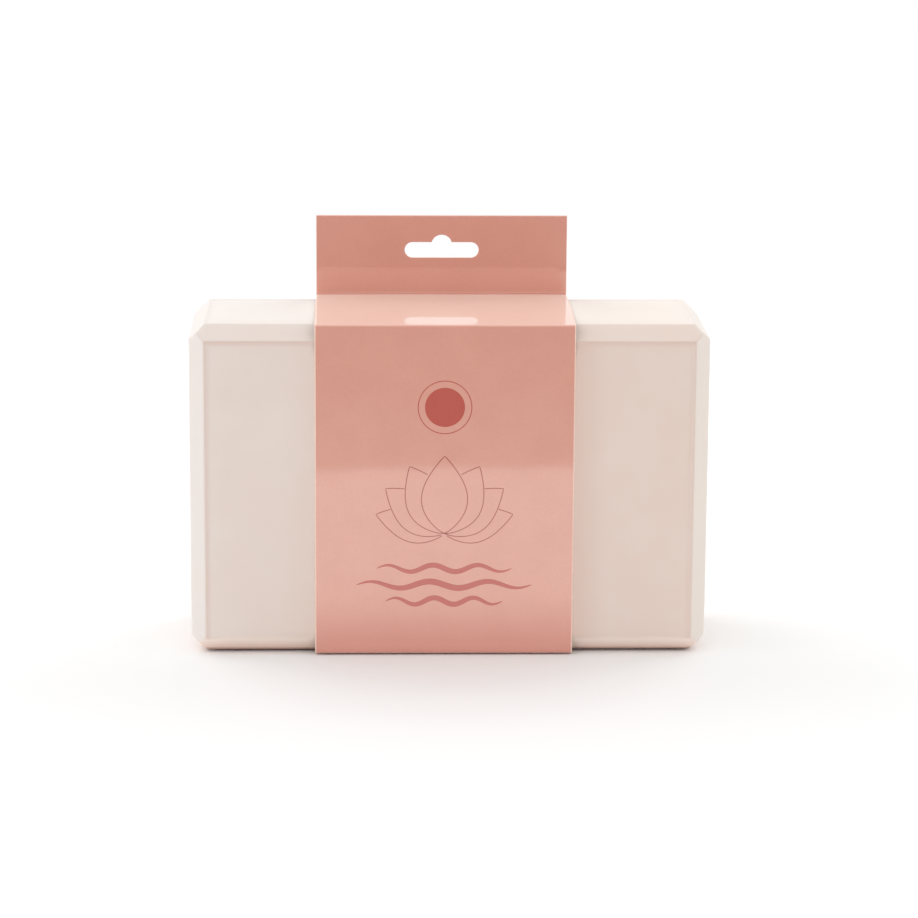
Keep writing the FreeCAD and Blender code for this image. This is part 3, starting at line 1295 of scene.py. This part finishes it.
@dataclass
class SleevePrint:
    """Line print on the front panel: a lotus under a sun, over three strokes of water.

    Each petal has its lean in degrees, length and half width, and each stroke its height, length and width.
    """

    sleeve: CardSleeve
    ink: bpy.types.Material
    bold_ink: bpy.types.Material
    line_width: float = 0.00042
    film: float = 0.00002
    lotus_foot: float = 0.056
    petal_lift: float = 0.85
    petal_fullness: float = 0.9
    petal_steps: int = 40
    petals: tuple[tuple[float, float, float], ...] = (
        (0.0, 0.0350, 0.0102),
        (27.0, 0.0340, 0.0098),
        (-27.0, 0.0340, 0.0098),
        (52.0, 0.0330, 0.0092),
        (-52.0, 0.0330, 0.0092),
        (74.0, 0.0315, 0.0080),
        (-74.0, 0.0315, 0.0080),
    )
    sun_height: float = 0.1130
    sun_radius: float = 0.0088
    ring_radius: float = 0.0118
    circle_steps: int = 72
    strokes: tuple[tuple[float, float, float], ...] = (
        (0.0400, 0.0600, 0.0023),
        (0.0325, 0.0780, 0.0027),
        (0.0250, 0.0520, 0.0023),
    )
    stroke_waves: float = 3.0
    stroke_swing: float = 0.0015
    stroke_taper: float = 0.6
    stroke_points: int = 120
    vertices: list[Sequence[float]] = field(default_factory=list)
    faces: list[Sequence[int]] = field(default_factory=list)

    def __post_init__(self) -> None:
        """Read the panel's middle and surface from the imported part."""
        low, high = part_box("front_panel")
        self.middle = (low.x + high.x) / 2
        self.surface = low.y

    def put(self, place: Point, proud: float) -> int:
        """Add a point over the panel.

        Args:
            place: x from the panel's middle, and height.
            proud: distance in front of the board.

        Returns:
            Number of the point.
        """
        x = self.middle + place[0]
        self.vertices.append((x, self.surface + self.sleeve.front_depth(x, place[1]) - proud, place[1]))
        return len(self.vertices) - 1

    def ribbon(self, line: np.ndarray, widths: np.ndarray, closed: bool = False) -> None:
        """Lay a thin closed band of ink along a line.

        Args:
            line: points in x and z.
            widths: width of the band at each point.
            closed: whether the line returns to its start.
        """
        before, after = np.roll(line, 1, axis=0), np.roll(line, -1, axis=0)
        if not closed:
            before[0], after[-1] = line[0], line[-1]
        way = after - before
        way /= np.linalg.norm(way, axis=1)[:, None]
        aside = np.stack((-way[:, 1], way[:, 0]), -1) * (widths / 2)[:, None]
        rows = []
        for point, shift in zip(line, aside):
            left, right = tuple(point + shift), tuple(point - shift)
            corners = ((left, self.film), (right, self.film), (right, -self.film), (left, -self.film))
            rows.append([self.put(place, proud) for place, proud in corners])
        pairs = list(zip(rows, rows[1:])) + ([(rows[-1], rows[0])] if closed else [])
        for first, second in pairs:
            for place in range(4):
                after_place = (place + 1) % 4
                self.faces.append((first[place], first[after_place], second[after_place], second[place]))
        if not closed:
            self.faces += [tuple(rows[0]), tuple(rows[-1])]

    def finish(self, name: str, ink: bpy.types.Material) -> bpy.types.Object:
        """Turn what has been laid so far into one piece of print.

        Args:
            name: name of the piece.
            ink: its material.

        Returns:
            The piece.
        """
        piece = new_object(name, self.vertices, self.faces, [ink], sharp_angle=CRISP_ANGLE)
        self.vertices, self.faces = [], []
        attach(piece, Body.SLEEVE.value)
        return piece

    def petal(self, turn: float, length: float, half_width: float) -> np.ndarray:
        """Outline of one pointed petal from its foot round to its foot.

        Args:
            turn: lean from upright, in degrees.
            length: foot to tip.
            half_width: half of its greatest width.

        Returns:
            Points in x and z.
        """
        share = np.linspace(0.0, 1.0, self.petal_steps + 1)
        reach = half_width * np.sin(math.pi * share**self.petal_lift) ** self.petal_fullness
        right, left = (np.stack((side * reach, length * share), -1) for side in (1.0, -1.0))
        up = np.concatenate((right, left[-2::-1]))
        lean = math.radians(turn)
        spin = np.array(((math.cos(lean), -math.sin(lean)), (math.sin(lean), math.cos(lean))))
        return up @ spin + np.array((0.0, self.lotus_foot))

    def lotus(self) -> None:
        """Lay the petals, each hidden where an earlier one lies in front."""
        in_front: list[np.ndarray] = []
        for turn, length, half_width in self.petals:
            outline = self.petal(turn, length, half_width)
            shown = np.array([not any(is_inside(point, other) for other in in_front) for point in outline])
            start = 0
            for stop in range(len(outline) + 1):
                if stop == len(outline) or not shown[stop]:
                    if stop - start > 2:
                        self.ribbon(outline[start:stop], np.full(stop - start, self.line_width))
                    start = stop + 1
            in_front.append(outline)

    def sun(self) -> None:
        """Lay the flat disc of the sun and the thin ring round it."""
        steps = self.circle_steps
        angles = np.linspace(0.0, 2 * math.pi, steps, endpoint=False)
        circle = np.stack((np.cos(angles), np.sin(angles)), -1)
        height = np.array((0.0, self.sun_height))
        self.ribbon(height + self.ring_radius * circle, np.full(steps, self.line_width), closed=True)
        rim = height + self.sun_radius * circle
        front = [self.put(tuple(point), self.film) for point in rim]
        behind = [self.put(tuple(point), -self.film) for point in rim]
        self.faces += [tuple(front), tuple(behind)]
        for place in range(steps):
            after = (place + 1) % steps
            self.faces.append((front[place], front[after], behind[after], behind[place]))

    def water(self) -> None:
        """Lay the three strokes of water, thick in the middle and drawn out to points."""
        for height, length, width in self.strokes:
            share = np.linspace(0.0, 1.0, self.stroke_points)
            x = (share - 0.5) * length
            z = height + self.stroke_swing * np.sin(2 * math.pi * self.stroke_waves * share)
            widths = width * np.sin(math.pi * share) ** self.stroke_taper + self.line_width / 3
            self.ribbon(np.stack((x, z), -1), widths)

    def build(self) -> list[bpy.types.Object]:
        """Lay the whole print.

        Returns:
            The thin lines and the bold shapes.
        """
        self.lotus()
        lines = self.finish("print_lines", self.ink)
        self.sun()
        self.water()
        return [lines, self.finish("print_shapes", self.bold_ink)]


def is_inside(point: np.ndarray, outline: np.ndarray) -> bool:
    """Whether a point lies inside a closed outline.

    Args:
        point: x and z.
        outline: points of the outline.

    Returns:
        True inside it.
    """
    x, z = point
    first, second = outline, np.roll(outline, -1, axis=0)
    spans = (first[:, 1] > z) != (second[:, 1] > z)
    rise = np.where(spans, second[:, 1] - first[:, 1], 1.0)
    cross = first[:, 0] + (z - first[:, 1]) * (second[:, 0] - first[:, 0]) / rise
    return bool(np.count_nonzero(spans & (x < cross)) % 2)


@dataclass
class GlueFilms:
    """The two adhesive films, whose CAD solids stay and get a finish."""

    nodes: tuple[str, ...] = ("seam_glue", "tab_glue")

    def build(self, finish: bpy.types.Material) -> list[bpy.types.Object]:
        """Dress the films.

        Args:
            finish: adhesive material.

        Returns:
            The films.
        """
        films = [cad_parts[name] for name in self.nodes]
        for film in films:
            film.data.materials.clear()
            film.data.materials.append(finish)
        return films


@dataclass
class Studio:
    """White floor, a dim wall behind the camera, pale surroundings and two soft lamps.

    The floor ends a little in front of the part of it that the camera sees. The glossy board mirrors that
    edge, and the wall beyond it.
    """

    floor_front: float = -0.412
    floor_back: float = 5.0
    floor_side: float = 3.0
    floor_drop: float = 0.00006
    wall_place: tuple[float, float, float] = (0.0, -2.6, 0.07)
    wall_half: float = 1.0
    surround: float = 1.05
    side_gain: float = 0.30
    left_gain: float = 0.50
    top_cut: float = 0.27
    lamp_places: tuple[tuple[float, float, float], ...] = ((-0.85, 0.75, 1.25), (0.85, 0.75, 1.25))
    lamp_size: float = 0.9
    lamp_power: float = 3.4

    def floor(self, finish: bpy.types.Material) -> bpy.types.Object:
        """Lay the floor.

        Args:
            finish: floor material.

        Returns:
            The floor.
        """
        xs, ys = (-self.floor_side, self.floor_side), (self.floor_front, self.floor_back)
        corners = [(x, y, -self.floor_drop) for y in ys for x in xs]
        floor = new_object("floor", corners, [(0, 1, 3, 2)], [finish])
        return floor

    def wall(self, finish: bpy.types.Material) -> bpy.types.Object:
        """Stand the dim end of the room behind the camera, where the glossy board mirrors it.

        Args:
            finish: wall material.

        Returns:
            The wall, which the camera itself doesn't see.
        """
        x, y, z = self.wall_place
        ends = (-self.wall_half, self.wall_half)
        corners = [(x + aside, y, z + rise) for rise in ends for aside in ends]
        wall = new_object("wall", corners, [(0, 1, 3, 2)], [finish])
        wall.visible_camera = False
        return wall

    def surroundings(self) -> None:
        """Make the world: white where it is seen, and as light brighter at the sides than overhead."""
        world = bpy.data.worlds.new("pale_studio")
        world.use_nodes = True
        bpy.context.scene.world = world
        tree = ShaderTree(world.node_tree)
        way = tree.parts(tree.coordinates("Generated"))
        left = tree.calc("MAXIMUM", tree.calc("MULTIPLY", way["X"], -1.0), 0.0)
        light = tree.calc("MULTIPLY_ADD", tree.calc("POWER", left, 2.0), self.left_gain, self.surround)
        sides = tree.calc("MULTIPLY", way["X"], way["X"])
        light = tree.calc("MULTIPLY_ADD", sides, self.side_gain, light)
        light = tree.calc("MULTIPLY_ADD", tree.calc("MULTIPLY", way["Z"], way["Z"]), -self.top_cut, light)
        seen = tree.seen()
        level = tree.calc("ADD", tree.calc("MULTIPLY", light, tree.calc("SUBTRACT", 1.0, seen)), seen)
        sky = tree.add("ShaderNodeBackground", Color=(1.0, 1.0, 1.0, 1.0), Strength=level)
        tree.add("ShaderNodeOutputWorld", Surface=sky.outputs["Background"])

    def lamps(self) -> None:
        """Hang the soft lamps behind the object, one at each side."""
        for place in self.lamp_places:
            data = bpy.data.lights.new("soft_lamp", "AREA")
            data.shape = "SQUARE"
            data.size = self.lamp_size
            data.energy = self.lamp_power
            lamp = bpy.data.objects.new("soft_lamp", data)
            bpy.context.scene.collection.objects.link(lamp)
            lamp.location = place
            lamp.rotation_euler = (-Vector(place)).to_track_quat("-Z", "Y").to_euler()

    def build(self, floor_finish: bpy.types.Material, wall_finish: bpy.types.Material) -> None:
        """Set up floor, wall, surroundings and lamps.

        Args:
            floor_finish: floor material.
            wall_finish: wall material.
        """
        self.floor(floor_finish)
        self.wall(wall_finish)
        self.surroundings()
        self.lamps()
        bpy.context.scene.view_settings.view_transform = "Standard"


@dataclass
class PhotoCamera:
    """Camera in front of the object, a little above it."""

    place: tuple[float, float, float] = (-0.04011, -1.53200, 0.42395)
    aim: tuple[float, float, float] = (0.005225, -0.000275, 0.081140)
    roll: float = -0.3636
    sensor: float = 36.0
    focal_pixels: float = 3471.66
    clip: tuple[float, float] = (0.05, 50.0)

    def build(self) -> bpy.types.Object:
        """Make the camera and choose it for the scene.

        Returns:
            The camera.
        """
        data = bpy.data.cameras.new("photo_camera")
        data.sensor_fit = "HORIZONTAL"
        data.sensor_width = self.sensor
        data.lens = self.sensor * self.focal_pixels / IMAGE_PIXELS
        data.clip_start, data.clip_end = self.clip
        camera = bpy.data.objects.new("photo_camera", data)
        bpy.context.scene.collection.objects.link(camera)
        look = (Vector(self.aim) - Vector(self.place)).to_track_quat("-Z", "Y").to_matrix()
        turn = look @ Matrix.Rotation(math.radians(-self.roll), 3, "Z")
        camera.matrix_world = Matrix.Translation(self.place) @ turn.to_4x4()
        bpy.context.scene.camera = camera
        return camera


def report(pieces: Sequence[bpy.types.Object]) -> None:
    """Log the size of each piece."""
    for piece in pieces:
        log.info("%s: %d points, %d faces", piece.name, len(piece.data.vertices), len(piece.data.polygons))


def main() -> None:
    """Build the pieces in order, then the studio and the camera, and note the size of the whole."""
    logging.basicConfig(level=logging.INFO, format="%(name)s %(message)s")
    low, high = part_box("front_panel")
    block_low, block_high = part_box("foam_block")
    foam = FoamFinish(block_low, block_high, low.x, high.x).make()
    rose = LaminateFinish(
        "rose_laminate",
        pale=(0.782, 0.376, 0.289),
        deep=(0.744, 0.347, 0.265),
        # Painted shade: a contact shadow at the ground, and shade towards the foot, the top and above the
        # tab's crease.
        ground_shade=0.38,
        foot_shade=0.62,
        top_shade=0.15,
        crease_shade=0.09,
    ).make()
    line_ink = LaminateFinish(
        "terracotta_line_ink", pale=(0.41, 0.062, 0.040), deep=(0.39, 0.056, 0.036)
    ).make()
    bold_ink = LaminateFinish(
        "terracotta_bold_ink", pale=(0.54, 0.080, 0.052), deep=(0.52, 0.074, 0.047)
    ).make()
    raw = FibreFinish("raw_board", pale=(0.82, 0.78, 0.73), deep=(0.74, 0.69, 0.635)).make()
    cut = FibreFinish("cut_board", pale=(0.90, 0.68, 0.58), deep=(0.84, 0.59, 0.49)).make()
    stock = CardStock(left=low.x, right=high.x, printed=rose, raw=raw, cut=cut)
    sleeve = CardSleeve(stock)
    report([FoamBlock(block_low, block_high, low.x, high.x).build(foam)])
    report(sleeve.build())
    report(HangTab(replace(stock, edge_wear=0.00016, edge_drop=0.00012)).build())
    report(SleevePrint(sleeve, line_ink, bold_ink).build())
    report(GlueFilms().build(GlueFinish().make()))
    Studio().build(FloorFinish().make(), WallFinish().make())
    PhotoCamera().build()


if __name__ == "__main__":
    main()
